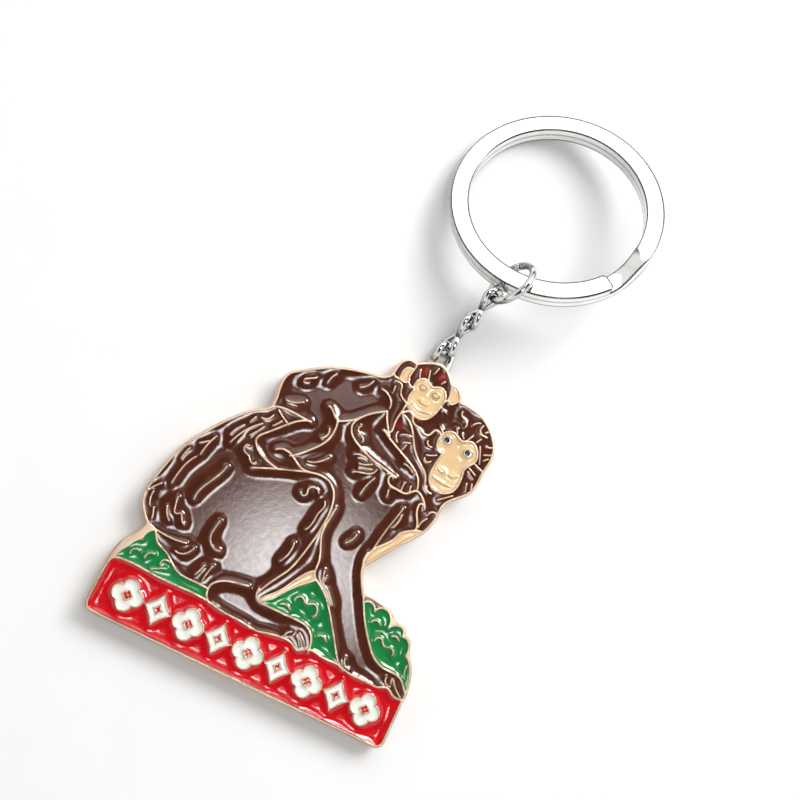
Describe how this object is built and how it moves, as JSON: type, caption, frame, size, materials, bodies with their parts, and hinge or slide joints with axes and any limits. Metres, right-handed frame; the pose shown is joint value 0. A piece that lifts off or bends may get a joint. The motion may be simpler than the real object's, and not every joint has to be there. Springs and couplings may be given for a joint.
{
  "type": "enamelled charm key ring",
  "caption": "Flat enamelled metal charm of two apes on a banner, on a short twisted chain with a jump ring and a flat-wire split key ring.",
  "frame": {"origin": "middle of the charm's flat back", "axes": "+X along the banner to the right, +Y up the charm towards the chain and key ring, +Z out of the enamelled face"},
  "size_m": [0.0487, 0.0949, 0.0118],
  "materials": {
    "rose_gold_plate": "polished copper-rose plating over cast zinc",
    "red_enamel": "gloss",
    "green_enamel": "gloss",
    "skin_enamel": "gloss",
    "brown_enamel": "gloss",
    "white_enamel": "gloss",
    "black_enamel": "gloss",
    "nickel_plate": "bright nickel plating on steel"
  },
  "bodies": {
    "charm": {"charm_plate": "rose_gold_plate", "enamel_banner_red": "red_enamel", "enamel_bush_left_green": "green_enamel", "enamel_bush_middle_green": "green_enamel", "enamel_bush_right_green": "green_enamel", "enamel_far_leg_skin": "skin_enamel", "enamel_chest_skin": "skin_enamel", "enamel_big_face_skin": "skin_enamel", "enamel_small_face_skin": "skin_enamel", "enamel_left_ear_skin": "skin_enamel", "enamel_right_ear_skin": "skin_enamel", "enamel_big_monkey_fur": "brown_enamel", "enamel_small_monkey_fur": "brown_enamel", "enamel_ornament_white": "white_enamel", "enamel_eye_white": "white_enamel", "enamel_eye_black": "black_enamel"},
    "chain_link_1": {"chain_link_1": "nickel_plate"},
    "chain_link_2": {"chain_link_2": "nickel_plate"},
    "chain_link_3": {"chain_link_3": "nickel_plate"},
    "jump_ring": {"jump_ring": "nickel_plate"},
    "split_ring": {"split_ring": "nickel_plate"}
  },
  "joints": [
    {"name": "link_1_swing", "type": "hinge", "parent": "charm", "child": "chain_link_1", "pos_m": [0.0065, 0.02405, 0.00117], "axis": [1, 0, 0], "range_deg": [-75, 0]},
    {"name": "link_2_sway", "type": "hinge", "parent": "chain_link_1", "child": "chain_link_2", "pos_m": [0.00672, 0.03044, 0.00148], "axis": [0.7079, 0.0098, -0.7063], "range_deg": [-30, 25]},
    {"name": "link_3_sway", "type": "hinge", "parent": "chain_link_2", "child": "chain_link_3", "pos_m": [0.00767, 0.03487, 0.00413], "axis": [0.7639, 0.1631, -0.6243], "range_deg": [-25, 30]},
    {"name": "jump_ring_swing", "type": "hinge", "parent": "chain_link_3", "child": "jump_ring", "pos_m": [0.00866, 0.03901, 0.00729], "axis": [0.9229, 0.0638, -0.3798], "range_deg": [-8, 28]},
    {"name": "split_ring_spin", "type": "hinge", "parent": "jump_ring", "child": "split_ring", "pos_m": [0.0114, 0.05508, 0.00592], "axis": [-0.2587, 0.1629, 0.9521], "continuous": true}
  ]
}
